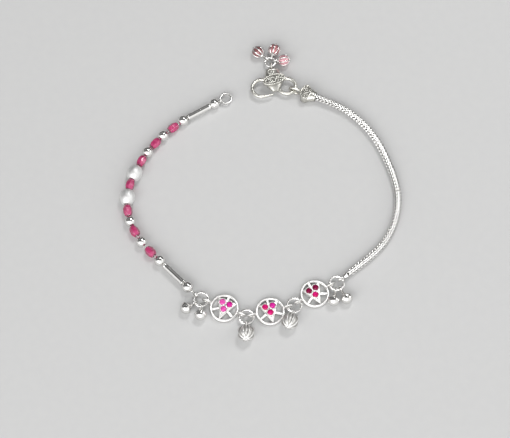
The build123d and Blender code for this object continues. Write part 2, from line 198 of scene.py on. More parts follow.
CAP_EYE = (5.0, 4.1, 0.55)  # length, height, wire radius
KINDS = (  # of beads, in order from the end ring
    "silver tube silver pink silver pink silver pink frosted pink frosted pink "
    "silver pink silver pink silver tube silver"
).split()
STRING = [f"{kind}_bead_{KINDS[: i + 1].count(kind)}" for i, kind in enumerate(KINDS)]
BEAD_LENGTHS = {
    "silver": 2 * SILVER_BEAD_R,
    "tube": TUBE_LENGTH,
    "pink": PINK_LENGTH,
    "frosted": FROSTED_LENGTH,
}
THREAD_TAIL = [
    # the thread's last two route points, in metres
    (-0.0342, -0.0294, 0.00195),
    (-0.0226, -0.0410, 0.00195),
]
CHAIN_ROLL = (
    # share of its length, degrees
    (0.04, 0.16, 0.29, 0.42, 0.55, 0.69, 0.82, 0.93),
    (12.0, 16.0, 13.0, -6.0, 0.0, 15.0, 21.0, 8.0),
)
CHAIN_POINTS = [
    # the chain's route, in metres
    (0.0299, -0.0340, 0.00145),
    (0.0360, -0.0292, 0.00145),
    (0.0424, -0.0232, 0.00145),
    (0.0469, -0.0151, 0.00145),
    (0.0487, -0.0065, 0.00145),
    (0.0480, 0.0015, 0.00145),
    (0.0453, 0.0100, 0.00145),
    (0.0419, 0.0181, 0.00145),
    (0.0369, 0.0253, 0.00145),
    (0.0286, 0.0325, 0.00150),
    (0.0186, 0.03606, 0.00205),
]


# ---- surfaces: each is (points, faces) ----
def skin(rows, loop=False):
    """A surface through rings of points; loop joins the last ring to the first."""
    rows = np.asarray(rows, float)
    count, width = rows.shape[:2]
    faces = []
    for i in range(count if loop else count - 1):
        start, after = i * width, (i + 1) % count * width
        for j in range(width):
            k = (j + 1) % width
            faces.append((start + j, start + k, after + k, after + j))
    return rows.reshape(-1, 3), faces


def lathe(profile, sides=64, loop=False, stretch=(1.0, 1.0)):
    """Turns (x, radius) points about local X; stretch scales local Y and Z."""
    wide, tall = stretch
    turns = np.linspace(0, 2 * math.pi, sides, endpoint=False)
    around = [(math.cos(a), math.sin(a)) for a in turns]
    rows = [[(x, r * y * wide, r * z * tall) for y, z in around] for x, r in profile]
    return skin(rows, loop)


def wire(line, radius, toward, closed=False, sides=12, tips=0):
    """A round wire along a line. toward points across it, to keep it from twisting."""
    line = np.asarray(line, float)
    radius = np.broadcast_to(np.asarray(radius, float), len(line))
    closing = np.roll(line, -1, 0) - np.roll(line, 1, 0)
    along = closing if closed else np.gradient(line, axis=0)
    along /= np.linalg.norm(along, axis=1)[:, None]
    across = np.broadcast_to(np.asarray(toward, float), line.shape)
    across = across - (across * along).sum(1)[:, None] * along
    across = across / np.linalg.norm(across, axis=1)[:, None]
    over = np.cross(along, across)
    around = np.linspace(0, 2 * math.pi, sides, endpoint=False)

    def ring(point, one, two, r):
        return [point + r * (math.cos(a) * one + math.sin(a) * two) for a in around]

    rows = [ring(*section) for section in zip(line, across, over, radius)]
    if closed:
        return skin(rows, loop=True)
    for end, sign in ((0, -1), (-1, 1)):
        cap = []
        for turn in np.linspace(0, math.pi / 2, tips + 2)[1:]:
            point = line[end] + sign * along[end] * radius[end] * math.sin(turn) * (tips > 0)
            cap.append(ring(point, across[end], over[end], radius[end] * math.cos(turn)))
        rows = cap[::-1] + rows if end == 0 else rows + cap
    return skin(rows)


def circle(radius, first=0.0, last=360.0, steps=64, plane="XY"):
    """Points round an arc in a plane; a full circle leaves out its last point."""
    around = np.radians(np.linspace(first, last, steps, endpoint=last - first < 360))
    line = np.zeros((steps, 3))
    line[:, 0] = radius * np.cos(around)
    line[:, 1 if plane == "XY" else 2] = radius * np.sin(around)
    return line


def racetrack(length, height, wire_r, steps=12):
    """The line of a long loop in the local XZ plane, round the origin."""
    r = height / 2 - wire_r
    half = (length - height) / 2
    turn = np.radians(np.linspace(-90, 90, steps))
    right = [(half + r * math.cos(a), 0, r * math.sin(a)) for a in turn]
    left = [(-x, 0, -z) for x, _, z in right]
    return np.array(right + left)


def eye(length, height=EYE_HEIGHT, wire_r=EYE_WIRE_R):
    """A long loop of wire that stands in the local XZ plane."""
    return wire(racetrack(length, height, wire_r), wire_r, (0, 1, 0), closed=True, sides=16)


def rounded(low_x, high_x, low_r, high_r, corner):
    """A closed (x, radius) outline of a rectangle with round corners."""
    left, right = low_x + corner, high_x - corner
    low, high = low_r + corner, high_r - corner
    outline = []
    for k, (x, r) in enumerate([(right, high), (left, high), (left, low), (right, low)]):
        for a in np.radians(np.linspace(90 * k, 90 * k + 90, 4)):
            outline.append((x + corner * math.cos(a), r + corner * math.sin(a)))
    return outline


def smooth_line(points, steps=8):
    """A smooth line through the points."""
    p = np.asarray(points, float)
    p = np.vstack([2 * p[0] - p[1], p, 2 * p[-1] - p[-2]])
    line = []
    for a, b, c, d in zip(p, p[1:], p[2:], p[3:]):
        for t in np.linspace(0, 1, steps, endpoint=False):
            curve = 2 * b + (c - a) * t + (2 * a - 5 * b + 4 * c - d) * t**2
            line.append(0.5 * (curve + (3 * b - a - 3 * c + d) * t**3))
    line.append(p[-2])
    return np.array(line)


def inset(outline, distance):
    """A convex outline, counter-clockwise, moved inwards by a distance."""
    outline = np.asarray(outline, float)
    run = np.roll(outline, -1, 0) - outline
    after = np.column_stack((-run[:, 1], run[:, 0])) / np.linalg.norm(run, axis=1)[:, None]
    before = np.roll(after, 1, 0)
    inward = before + after
    return outline + distance * inward / np.maximum(0.35, (inward * before).sum(1))[:, None]


def stepped(outline, edges):
    """The outline again at each distance inwards and height."""
    return [[(x, y, z) for x, y in inset(outline, distance)] for distance, z in edges]


def slab(outline, low, high, edge, steps=4):
    """A flat plate with rounded edges, its outline in the local XY plane."""
    turns = np.linspace(0, math.pi / 2, steps)
    curve = [(edge * (1 - math.sin(a)), edge * (1 - math.cos(a))) for a in turns]
    edges = [(x, low + z) for x, z in curve] + [(x, high - z) for x, z in curve[::-1]]
    points, faces = skin(stepped(outline, edges))
    width = len(outline)
    count = len(points)
    top = count - width
    points = np.vstack([points, *stepped(outline, [(1.3 * edge, low), (1.3 * edge, high)])])
    for j in range(width):
        k = (j + 1) % width
        faces.append((j, k, count + k, count + j))
        faces.append((top + j, top + k, count + width + k, count + width + j))
    faces.append(tuple(range(count, count + width)))
    faces.append(tuple(range(count + width, count + 2 * width)))
    return points, faces


def ball(radius, rings=10, sides=0):
    """A round ball at the origin, its poles on local X."""
    turns = np.linspace(0, math.pi, rings + 1)
    profile = [(-radius * math.cos(a), radius * math.sin(a)) for a in turns]
    return lathe(profile, sides or 2 * rings)


# ---- pieces ----
class Shape:
    """Surfaces gathered into one mesh, each in its place."""

    def __init__(self):
        self.points, self.faces, self.depths = [], [], []
        self.count = 0

    def add(self, surface, place=None, depth=0.0):
        points, faces = surface
        if place is not None:
            matrix = np.array(place)
            points = points @ matrix[:3, :3].T + matrix[:3, 3]
        self.points.append(points)
        self.faces += [tuple(i + self.count for i in face) for face in faces]
        self.depths.append(np.broadcast_to(np.asarray(depth, float), len(points)))
        self.count += len(points)
        return self

    def join(self, other, place=None):
        """Adds all surfaces of another shape."""
        surface = (np.concatenate(other.points), other.faces)
        return self.add(surface, place, np.concatenate(other.depths))


def piece(name, shape, place, material, nodes=None, facets=False, sharp=50):
    """One shown piece on the anklet's only body, standing for its own node or for nodes."""
    nodes = [name] if nodes is None else nodes
    mesh = bpy.data.meshes.new(name)
    mesh.from_pydata(np.concatenate(shape.points).tolist(), [], shape.faces)
    depth = mesh.attributes.new("depth", "FLOAT", "POINT")
    depth.data.foreach_set("value", np.concatenate(shape.depths).astype(np.float32))
    work = bmesh.new()
    work.from_mesh(mesh)
    bmesh.ops.remove_doubles(work, verts=work.verts, dist=1e-4)
    bmesh.ops.dissolve_degenerate(work, edges=work.edges, dist=1e-5)
    bmesh.ops.recalc_face_normals(work, faces=work.faces)
    work.to_mesh(mesh)
    work.free()
    mesh.transform(Matrix.Scale(MM, 4) @ place)
    if facets:
        mesh.shade_flat()
    else:
        mesh.shade_smooth()
        mesh.set_sharp_from_angle(angle=math.radians(sharp))
    mesh.materials.append(material)
    obj = bpy.data.objects.new(name, mesh)
    SCENE.collection.objects.link(obj)
    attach(obj, "root")
    if nodes:
        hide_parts(*nodes)


def moved(x=0.0, y=0.0, z=0.0):
    return Matrix.Translation((x, y, z))


def spun(degrees, axis):
    return Matrix.Rotation(math.radians(degrees), 4, axis)


def scaled(x, y, z):
    return Matrix.Diagonal((x, y, z, 1.0))


def bearing_of(run):
    """A direction's bearing in the floor's plane, in degrees."""
    return math.degrees(math.atan2(run[1], run[0]))


UPRIGHT = spun(-90, "Y")  # takes local +X to +Z


def turned(place, bearing, pitch=0.0, roll=0.0):
    """A place whose local +X points along the bearing, raised by the pitch."""
    return Matrix.Translation(place) @ spun(bearing, "Z") @ spun(-pitch, "Y") @ spun(roll, "X")


def facing(place, direction, roll):
    """A place whose local +X points in a direction."""
    run = Vector(direction).normalized()
    return turned(place, bearing_of(run), math.degrees(math.asin(run.z)), roll)


def middle(node):
    """The middle of a node's box, in millimetres."""
    low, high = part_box(node)
    return (low + high) / (2 * MM)


def from_layout(x, y, z):
    """A place of the layout in the model's own axes."""
    return Vector((x, y, z)) - CENTRE


def lying(loop, bearing, reach, radius):
    """The place of a drop whose loop is here and whose round body lies on the floor."""
    pitch = math.degrees(math.asin((radius - loop.z) / reach))
    return turned(loop, bearing, pitch)


def on_ring(ring, bearing, reach, radius):
    """The place of a drop that hangs on a jump ring's wire at this bearing."""
    centre = middle(f"jump_ring_{ring}")
    out = math.radians(bearing)
    from_axis = out - math.radians(JUMP_TILT_AXES[ring - 1])
    rise = math.sin(from_axis) * math.sin(math.radians(JUMP_TILT))
    loop = centre + Vector((math.cos(out), math.sin(out), rise)) * JUMP_R
    return lying(loop + Vector((0, 0, LOOP_LIFT)), bearing, reach, radius)


def read_route(points):
    """Points in millimetres along the smooth spline with these control points."""
    curve = bpy.data.curves.new("route", "CURVE")
    curve.dimensions = "3D"
    curve.resolution_u = 32
    spline = curve.splines.new("NURBS")
    spline.points.add(len(points) - 1)
    for control, point in zip(spline.points, points):
        control.co = (*(Vector(point) - CENTRE * MM), 1.0)
    spline.order_u = 3
    spline.use_endpoint_u = True
    holder = bpy.data.objects.new("route", curve)
    mesh = bpy.data.meshes.new_from_object(holder)
    line = np.array([v.co for v in mesh.vertices]) / MM
    bpy.data.objects.remove(holder)
    bpy.data.curves.remove(curve)
    bpy.data.meshes.remove(mesh)
    return line


# ---- materials ----
def plug(tree, socket, value):
    """Links another node's output to a socket, or gives the socket a plain value."""
    if isinstance(value, bpy.types.NodeSocket):
        tree.links.new(value, socket)
    elif socket.type == "RGBA":
        socket.default_value = (*value, 1.0)
    else:
        socket.default_value = value


def calculate(tree, operation, one, two):
    """The output of a math node."""
    made = tree.nodes.new("ShaderNodeMath")
    made.operation = operation
    plug(tree, made.inputs[0], one)
    plug(tree, made.inputs[1], two)
    return made.outputs[0]


class Finish:
    """A material's Principled shader, with helpers that make its textures."""

    def __init__(self, name, **values):
        self.material = bpy.data.materials.new(name)
        self.material.use_nodes = True
        self.tree = self.material.node_tree
        self.shader = self.tree.nodes["Principled BSDF"]
        self.place = self.node("ShaderNodeTexCoord").outputs["Object"]
        for key, value in values.items():
            self.set(key, value)

    def node(self, kind, **inputs):
        made = self.tree.nodes.new(kind)
        for key, value in inputs.items():
            plug(self.tree, made.inputs[key.replace("_", " ")], value)
        return made

    def noise(self, size, detail=2.0):
        """Noise with features of about this many millimetres."""
        scale = 1 / (size * MM)
        made = self.node("ShaderNodeTexNoise", Vector=self.place, Scale=scale, Detail=detail)
        return made.outputs["Fac"]

    def depth(self):
        made = self.node("ShaderNodeAttribute")
        made.attribute_name = "depth"
        return made.outputs["Fac"]

    def outline(self):
        """0 where the surface faces the viewer, and 1 at its outline."""
        return self.node("ShaderNodeLayerWeight", Blend=0.5).outputs["Facing"]

    def ramp(self, value, low, high, out_low=0.0, out_high=1.0):
        """A value's range from low to high, spread over another range."""
        span = {"From_Min": low, "From_Max": high, "To_Min": out_low, "To_Max": out_high}
        return self.node("ShaderNodeMapRange", Value=value, **span).outputs["Result"]

    def blend(self, share, one, two):
        """A colour between two colours or outputs."""
        made = self.node("ShaderNodeMix")
        made.data_type = "RGBA"
        for number, value in ((0, share), (6, one), (7, two)):
            plug(self.tree, made.inputs[number], value)
        return made.outputs[2]

    def bump(self, height, distance):
        """Bump of this many millimetres."""
        return self.node("ShaderNodeBump", Height=height, Distance=distance * MM).outputs["Normal"]

    def set(self, key, value):
        plug(self.tree, self.shader.inputs[key.replace("_", " ")], value)

    def done(self, colour, roughness, bump=None):
        """The material, with these values or outputs on its surface."""
        self.set("Base_Color", colour)
        self.set("Roughness", roughness)
        if bump:
            self.set("Normal", bump)
        return self.material


def shade(colour, share):
    return [share * c for c in colour]


def silver(name, colour, groove, rough, scratch):
    """Silver with faint wear; painted shade darkens it toward its outline, and oxide and painted
    shade where the piece is deep.
    """
    finish = Finish(name, Metallic=1.0)
    wear = finish.ramp(finish.noise(2.5, 3.0), 0.35, 0.7)
    worn = finish.blend(wear, colour, shade(colour, 0.95))
    # Painted shade: darker toward the outline.
    rim = finish.ramp(finish.outline(), 0.4, 1.0, 0, 0.7)
    clean = finish.blend(rim, worn, shade(colour, 0.4))
    patches = finish.ramp(finish.noise(0.8, 4.0), 0.3, 0.75, *rough)
    dirt = finish.ramp(finish.depth(), 0, 1, 0, 0.35)
    rougher = calculate(finish.tree, "ADD", patches, dirt)
    bump = finish.bump(finish.noise(0.35, 3.0), scratch)
    # Deep places take the groove colour: oxide and painted shade.
    return finish.done(finish.blend(finish.depth(), clean, groove), rougher, bump)


def frosted_silver():
    """Matte silver with a fine bright grain."""
    finish = Finish("frosted_silver", Metallic=1.0)
    cells = finish.node("ShaderNodeTexVoronoi", Vector=finish.place, Scale=1 / (0.16 * MM))
    grain = cells.outputs["Color"]
    colour = finish.blend(finish.ramp(grain, 0.2, 0.8), (0.80, 0.80, 0.79), (0.96, 0.96, 0.95))
    rough = finish.ramp(finish.noise(0.6, 3.0), 0.3, 0.7, 0.42, 0.6)
    return finish.done(colour, rough, finish.bump(grain, 0.05))


def pink_glass():
    """Raspberry glass, cloudier in places, with painted shade deepening it toward its outline."""
    values = {"IOR": 1.5, "Transmission_Weight": 0.4, "Coat_Weight": 0.8, "Coat_Roughness": 0.08}
    finish = Finish("pink_glass", **values)
    cloud = finish.ramp(finish.noise(1.3, 3.0), 0.35, 0.65)
    clear = finish.blend(cloud, (0.60, 0.035, 0.17), (0.84, 0.12, 0.33))
    # Painted shade: deeper colour toward the outline.
    rim = finish.ramp(finish.outline(), 0.2, 0.8, 0, 0.9)
    colour = finish.blend(rim, clear, (0.30, 0.012, 0.07))
    rough = finish.ramp(finish.noise(0.5), 0.3, 0.7, 0.06, 0.16)
    return finish.done(colour, rough, finish.bump(finish.noise(0.9), 0.03))


def pink_stone(name, light, deep):
    """Bright pink stone with clean facets, deeper in colour in places."""
    finish = Finish(name, IOR=1.6, Transmission_Weight=0.15, Specular_IOR_Level=0.25)
    colour = finish.blend(finish.ramp(finish.noise(1.1), 0.4, 0.6), deep, light)
    return finish.done(colour, finish.ramp(finish.noise(0.3), 0.3, 0.7, 0.02, 0.06))


def pink_enamel(name, thin, thick):
    """Clear pink enamel over bright metal, deeper beside the ribs in painted shade."""
    finish = Finish(name, IOR=1.5, Coat_Weight=1.0, Coat_Roughness=0.04, Metallic=0.35)
    cloud = finish.ramp(finish.noise(1.2, 3.0), 0.35, 0.65)
    cloudy = finish.blend(cloud, thin, shade(thin, 0.85))
    rough = finish.ramp(finish.noise(0.5), 0.3, 0.7, 0.12, 0.25)
    # The second colour, beside the ribs, is painted shade.
    return finish.done(finish.blend(finish.depth(), cloudy, thick), rough)


def floor_finish():
    """Pale matte paper."""
    finish = Finish("floor", Specular_IOR_Level=0.1)
    colour = finish.blend(finish.noise(3.0, 4.0), (0.57, 0.57, 0.57), (0.60, 0.60, 0.595))
    return finish.done(colour, 0.9)


# Each silver's second colour is the one deep in its hollows: oxide and painted shade.
SILVER = silver("polished_silver", (0.90, 0.89, 0.87), (0.10, 0.095, 0.085), (0.05, 0.12), 0.004)
CHAIN_SILVER = silver("chain_silver", (0.95, 0.94, 0.92), (0.16, 0.155, 0.145), (0.10, 0.20), 0.006)
WIRE_SILVER = silver("wire_silver", (0.94, 0.93, 0.91), (0.12, 0.115, 0.105), (0.20, 0.30), 0.004)
# The clasp's silver is darker all over: oxide and painted shade.
OXIDISED_AND_SHADED = silver("oxidised_silver", (0.71, 0.70, 0.65), (0.055, 0.053, 0.045), (0.26, 0.38), 0.010)
FROSTED = frosted_silver()
GLASS = pink_glass()
CAST_SILVER = silver("cast_silver", (0.96, 0.95, 0.93), (0.36, 0.35, 0.33), (0.34, 0.46), 0.008)
ROSE = pink_stone("rose_stone", (0.95, 0.15, 0.56), (0.78, 0.06, 0.40))
MAGENTA = pink_stone("magenta_stone", (0.82, 0.025, 0.40), (0.58, 0.01, 0.26))
PINK = pink_stone("pink_stone", (0.85, 0.01, 0.24), (0.60, 0.004, 0.13))
CRIMSON = pink_stone("crimson_stone", (0.34, 0.002, 0.085), (0.18, 0.0, 0.03))
STONES = {
    "1a": ROSE, "1b": MAGENTA, "1c": ROSE,
    "2a": PINK, "2b": MAGENTA, "2c": PINK,
    "3a": CRIMSON, "3b": CRIMSON, "3c": PINK,
}
# Each enamel: its own colour, then a deeper one of painted shade beside the ribs.
ENAMELS = [
    pink_enamel("dark_enamel", (0.36, 0.15, 0.155), (0.13, 0.035, 0.04)),
    pink_enamel("red_enamel", (0.56, 0.23, 0.245), (0.26, 0.065, 0.075)),
    pink_enamel("pink_enamel", (0.88, 0.52, 0.57), (0.60, 0.14, 0.19)),
]


# ---- bead string ----
def end_ring():
    shape = Shape()
    band = rounded(-RING_HEIGHT / 2, RING_HEIGHT / 2, RING_BORE_R, RING_OUTER_R, corner=0.13)
    shape.add(lathe(band, sides=96, loop=True), UPRIGHT)
    # x, radius: the neck from the band to its mouth
    neck = [(1.9, 0), (1.9, 0.55), (2.15, 0.62), (2.3, 0.65), (2.62, 0.65), (2.7, 0.62)]
    neck += [(NECK_END, 0.54), (NECK_END, 0.34), (2.5, 0.3), (2.5, 0)]
    shape.add(lathe(neck, sides=32), moved(z=NECK_LIFT))
    return shape


def silver_bead():
    lip = 0.12
    start = math.asin((BEAD_BORE_R + lip) / SILVER_BEAD_R)
    turns = np.linspace(start, math.pi - start, 36)
    profile = [(-SILVER_BEAD_R * math.cos(a), SILVER_BEAD_R * math.sin(a)) for a in turns]
    end = profile[-1][0]
    bore = [(end - 0.01, BEAD_BORE_R + 0.04), (end - 0.08, BEAD_BORE_R)]
    bore += [(0.08 - end, BEAD_BORE_R), (0.01 - end, BEAD_BORE_R + 0.04)]
    return Shape().add(lathe(profile + bore, loop=True))


def tube_bead():
    half = TUBE_LENGTH / 2
    barrel_r = TUBE_R - 0.05
    # distance from the end, radius: barrel, raised band, round lip and bore
    rim = [(0.56, barrel_r), (0.5, barrel_r), (0.42, TUBE_R), (0.16, TUBE_R)]
    rim += [(0.03, TUBE_R - 0.09), (0, TUBE_R - 0.18), (0.04, 0.68), (0.2, 0.62)]
    right = [(0.2 * half, barrel_r)] + [(half - back, r) for back, r in rim]
    left = [(-x, r) for x, r in right[::-1]]
    return Shape().add(lathe(right + left, sides=48, loop=True))


def frosted_bead(seed, rings=72, sides=128):
    """Oval bead whose skin is pressed all over with fine dimples."""
    half = FROSTED_LENGTH / 2
    stretch = half / math.sqrt(FROSTED_R**2 - FROSTED_END_R**2)
    start = math.asin(FROSTED_END_R / FROSTED_R)
    turns = np.linspace(start, math.pi - start, rings)
    profile = [(-stretch * FROSTED_R * math.cos(a), FROSTED_R * math.sin(a)) for a in turns]
    bore = [(half - 0.02, 1.0), (half - 0.02, 0.72), (half - 0.15, 0.6)]
    bore += [(-x, r) for x, r in bore[::-1]]
    points, faces = lathe(profile + bore, sides, loop=True)
    dimples = np.random.default_rng(seed).uniform(0, 0.05, len(points))
    on_skin = np.arange(len(points)) < rings * sides
    radius = np.hypot(points[:, 1], points[:, 2])
    shrink = 1 - np.where(on_skin, dimples, 0) / radius
    points[:, 1:] *= shrink[:, None]
    return Shape().add((points, faces))


def cut_hexagon(x, radius, cut):
    """A hexagon across local X whose corners are cut, to this many degrees either side."""
    around = [math.radians(60 * corner + turn) for corner in range(6) for turn in (-cut, cut)]
    return [(x, radius * math.cos(a), radius * math.sin(a)) for a in around]


def pink_bead():
    """Six-sided glass barrel with ground edges."""
    half = PINK_LENGTH / 2
    flat = 0.4 * half
    ground = 0.1
    profile = [(-half, PINK_END_R - ground), (ground - half, PINK_END_R + 0.04)]
    profile += [(-flat - ground, PINK_MIDDLE_R - 0.05), (ground - flat, PINK_MIDDLE_R)]
    profile += [(-x, r) for x, r in profile[::-1]]
    rows = [cut_hexagon(x, r, 5) for x, r in profile]
    rows += [cut_hexagon(x, BEAD_BORE_R, 15) for x in (half, -half)]
    return Shape().add(skin(rows, loop=True))


def cable_links(start, end):
    """Small links of fine wire from one bead's hole to the next."""
    shape = Shape()
    run = Vector(end) - Vector(start)
    count = max(1, round(run.length / LINK_PITCH))
    line = racetrack(LINK_LENGTH, LINK_HEIGHT, LINK_WIRE_R, steps=7)
    for i in range(count):
        place = facing(Vector(start) + run * ((i + 0.5) / count), run, 45 + 90 * (i % 2))
        shape.add(wire(line, LINK_WIRE_R, (0, 1, 0), closed=True, sides=8), place)
    return shape


def long_axis(node):
    """The direction in which a node's mesh is longest."""
    points = np.array([v.co for v in frame["nodes"][node].data.vertices], np.float32)
    axes = np.linalg.svd(points - points.mean(0), full_matrices=False)[2]
    return Vector(axes[0].tolist())


def bead_run(i, centres):
    """A bead's direction along the string; tubes and glass beads keep their parts' own."""
    before = centres[max(i - 1, 0)]
    after = centres[min(i + 1, len(centres) - 1)]
    run = (after - before).normalized()
    if KINDS[i] in ("tube", "pink"):
        axis = long_axis(STRING[i])
        run = axis if axis.dot(run) > 0 else -axis
    return run


def bead(node, place):
    kind, number = node.split("_bead_")
    if kind == "silver":
        piece(node, silver_bead(), place, SILVER)
    elif kind == "tube":
        piece(node, tube_bead(), place, SILVER)
    elif kind == "frosted":
        shape = frosted_bead(int(number))
        piece(node, shape, place, FROSTED, sharp=80)
    else:
        piece(node, pink_bead(), place, GLASS, facets=True)


def bead_thread(centres, runs):
    """Links from each bead to the next and at both ends, and the eye at the far end."""
    reach = [BEAD_LENGTHS[kind] / 2 - LINK_INSET for kind in KINDS]
    shape = Shape()
    for i in range(len(STRING) - 1):
        start = centres[i] + runs[i] * reach[i]
        end = centres[i + 1] - runs[i + 1] * reach[i + 1]
        shape.join(cable_links(start, end))
    tail = Vector(THREAD_TAIL[1]) - Vector(THREAD_TAIL[0])
    tail_end = Vector(THREAD_TAIL[1]) / MM - CENTRE
    last_start = centres[-1] + runs[-1] * LAST_LINKS_START
    shape.join(cable_links(last_start, tail_end - runs[-1] * LINK_INSET))
    first_end = centres[0] - runs[0] * FIRST_LINKS_END
    shape.join(cable_links(first_end - runs[0] * FIRST_LINKS_RUN, first_end))
    eye_place = turned((tail_end.x, tail_end.y, EYE_Z), bearing_of(tail)) @ moved(x=TAIL_EYE_X)
    shape.add(eye(TAIL_EYE_LENGTH), eye_place)
    piece("bead_thread", shape, Matrix(), SILVER)


def bead_string():
    centres = [middle(node) for node in STRING]
    runs = [bead_run(i, centres) for i in range(len(STRING))]
    for i, node in enumerate(STRING):
        bead(node, facing(centres[i], runs[i], BEAD_ROLL * i))
    bead_thread(centres, runs)
    bearing = bearing_of(np.subtract(THREAD_START, END_RING_XY))
    place = turned(from_layout(*END_RING_XY, RING_Z), bearing)
    piece("end_ring", end_ring(), place, WIRE_SILVER)


# ---- medallion row ----
def jump_ring():
    """A ring of wire whose cut ends meet at local +X."""
    line = circle(JUMP_R, first=1.0, last=359.0, steps=72)
    return Shape().add(wire(line, JUMP_WIRE_R, (0, 0, 1), sides=18))


def hanging_loop(radius, wire_r):
    """The round loop of a bell or drop, upright at the origin."""
    return wire(circle(radius, plane="XZ"), wire_r, (0, 1, 0), closed=True, sides=14)


def triangle_plate():
    """A sunk plate within a raised border."""
    ground = slab(inset(TRIANGLE, 0.5), low=0.35, high=1.0, edge=0.08)
    # The sunk ground is darker: oxide and painted shade.
    shape = Shape().add(ground, depth=0.3)
    # distance inwards, height: up the outside, over the top and down the inside
    edges = [(0.0, 0.3), (0.0, 1.22), (0.05, 1.34), (0.17, 1.4), (0.7, 1.4), (0.82, 1.34)]
    edges += [(0.88, 1.22), (0.9, 0.95), (0.9, 0.4)]
    return shape.add(skin(stepped(TRIANGLE, edges), loop=True))


def medallion():
    shape = Shape()
    # height, radius: up the outside and down the inside
    rim = [(0.0, 4.35), (0.0, 4.85), (0.14, 4.97), (0.4, 5.0), (1.1, 5.0), (1.36, 4.96)]
    rim += [(1.48, 4.82), (MEDAL_HEIGHT, 4.62), (1.48, 4.36), (1.36, 4.2), (1.1, 4.15)]
    rim += [(0.4, 4.15), (0.14, 4.2)]
    shape.add(lathe(rim, sides=128, loop=True), UPRIGHT)
    shape.join(triangle_plate())
    for bearing, inner, outer in SPOKES:
        half = SPOKE_WIDTH / 2
        outline = [(inner, -half), (outer, -half), (outer, half), (inner, half)]
        shape.add(slab(outline, low=0.32, high=1.38, edge=0.2), spun(bearing, "Z"))
    cup = rounded(0.4, 1.72, STONE_R + 0.02, 1.38, corner=0.1)
    cup_floor = [(1.0, 0), (1.0, 1.12)]
    for x, y in STONE_SEATS.values():
        seat = moved(x, y) @ UPRIGHT
        shape.add(lathe(cup, sides=48, loop=True), seat)
        # The cup's floor is darker: oxide and painted shade.
        shape.add(lathe(cup_floor, sides=32), seat, depth=0.6)
        for a in np.radians((45, 135, 225, 315)):
            claw = moved(x + 1.1 * math.cos(a), y + 1.1 * math.sin(a), 1.74)
            shape.add(ball(0.2, rings=8, sides=12), claw)
    for side in (-1, 1):
        place = moved(x=side * MEDAL_EYE_X, z=EYE_Z)
        shape.add(eye(MEDAL_EYE_LENGTH), place)
    return shape


def stone():
    """A round brilliant: table, two rows of crown facets, girdle and pavilion."""
    levels = [
        # height, radius, turn in sixteenths of a circle
        (1.12, 0.02, 0),
        (1.66, STONE_R, 0),
        (1.74, STONE_R, 0),
        (1.97, 0.9 * STONE_R, 1),
        (2.2, 0.58 * STONE_R, 0),
    ]
    rows = []
    for z, r, turn in levels:
        around = [math.radians(45 * k + 22.5 * turn) for k in range(8)]
        rows.append([(r * math.cos(a), r * math.sin(a), z) for a in around])
    points, faces = skin(rows)
    split = [half for p, q, r, s in faces for half in ((p, q, r), (p, r, s))]
    table = tuple(range(len(points) - 8, len(points)))
    return Shape().add((points, split + [table]))


def bell(seam_x):
    top = seam_x - 2.0
    knob = [(0.95, 0), (0.95, 0.36), (1.05, 0.46), (top, 0.5)]
    crown = [(top, 0.5), (top + 0.5, 1.0), (top + 1.15, 1.55), (seam_x - 0.2, 2.04)]
    # distance past the seam, radius: two raised edges with a groove between them
    seam = [(-0.16, 2.1), (-0.1, 2.16), (-0.03, 2.15), (0, 2.04), (0.03, 2.15), (0.1, 2.16)]
    seam += [(0.17, 2.1)]
    turns = np.linspace(math.radians(84), 0, 24)
    profile = knob + list(smooth_line(crown)[1:])
    profile += [(seam_x + past, r) for past, r in seam]
    profile += [(seam_x + BELL_R * math.cos(a), BELL_R * math.sin(a)) for a in turns]
    points, faces = lathe(profile)
    # Dark seam groove: oxide and painted shade.
    depth = np.exp(-(((points[:, 0] - seam_x) / 0.05) ** 2)) * 0.9
    shape = Shape().add((points, faces), depth=depth)
    return shape.add(hanging_loop(LOOP_R, LOOP_WIRE_R))


def ribbed_ball(radius, ribs, rib_share, sink, rings=57, rib_sides=24):
    """A ball whose round ribs run from pole to pole on local X, with panels sunk between."""
    around = rib_sides * ribs
    rows, depths = [], []
    for turn in np.linspace(0, math.pi, rings):
        spread = math.sin(turn)
        ease = min(1.0, spread * 1.6)
        width = min(0.95, rib_share / max(spread, 0.12))  # of a rib, as off counts it
        ring = []
        for k in range(around):
            off = abs((k * ribs / around) % 1.0 * 2 - 1)  # 0 on a rib, 1 in the middle of a panel
            crest = math.sqrt(max(0.0, 1 - (off / width) ** 2))
            domed = 0.25 * max(0.0, off - width) / (1 - width)
            r = radius - sink * ease * (1 - crest) * (1 - domed)
            a = 2 * math.pi * k / around
            ring.append((-r * math.cos(turn), r * spread * math.cos(a), r * spread * math.sin(a)))
            # Darker in the creases and panels: oxide and painted shade.
            crease = math.exp(-(((off - width) / 0.13) ** 2))
            depths.append(min(1.0, spread * 2) * max(crease, 0.3 * (off > width)))
        rows.append(ring)
    return skin(rows), np.array(depths)


def melon_drop():
    surface, depth = ribbed_ball(MELON_R, ribs=8, rib_share=0.34, sink=0.5)
    shape = Shape().add(surface, moved(x=MELON_X), 0.9 * depth)
    cap = [(1.1, 0), (1.1, 0.9), (1.25, 1.12), (1.5, 1.18), (1.75, 1.05), (1.9, 0.6), (1.9, 0)]
    shape.add(lathe(cap, sides=40))
    shape.add(ball(0.47), moved(x=MELON_X + MELON_R - 0.1))
    return shape.add(hanging_loop(LOOP_R, LOOP_WIRE_R))


